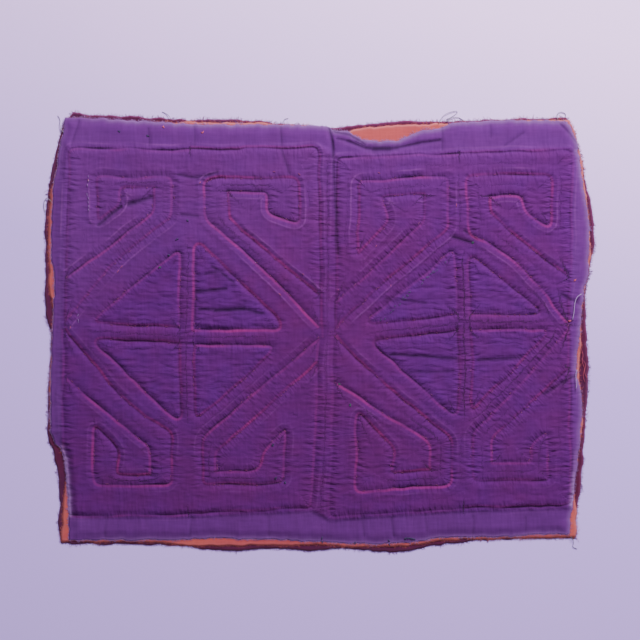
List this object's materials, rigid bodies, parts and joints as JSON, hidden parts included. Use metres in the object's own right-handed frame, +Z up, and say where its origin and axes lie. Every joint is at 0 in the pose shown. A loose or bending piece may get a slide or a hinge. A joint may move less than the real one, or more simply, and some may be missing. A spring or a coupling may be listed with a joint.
{
  "type": "mola panel",
  "caption": "Flat hand-sewn cloth panel of layered cottons, backing side up, with puckered geometric seam relief and uneven raw edges.",
  "frame": {"origin": "centre of the panel's outline, on the surface it lies on", "axes": "+X along the panel's long side, +Y up its design, +Z up out of the backing cloth"},
  "size_m": [0.4204, 0.3362, 0.0052],
  "materials": {
    "burgundy_cotton": "plain woven cotton, matte",
    "orange_cotton": "plain woven cotton, matte",
    "purple_cotton": "plain woven cotton, matte, puckered by hand sewing"
  },
  "bodies": {
    "root": {"front_layer": "burgundy_cotton", "middle_layer": "orange_cotton", "backing_layer": "purple_cotton"}
  },
  "joints": []
}
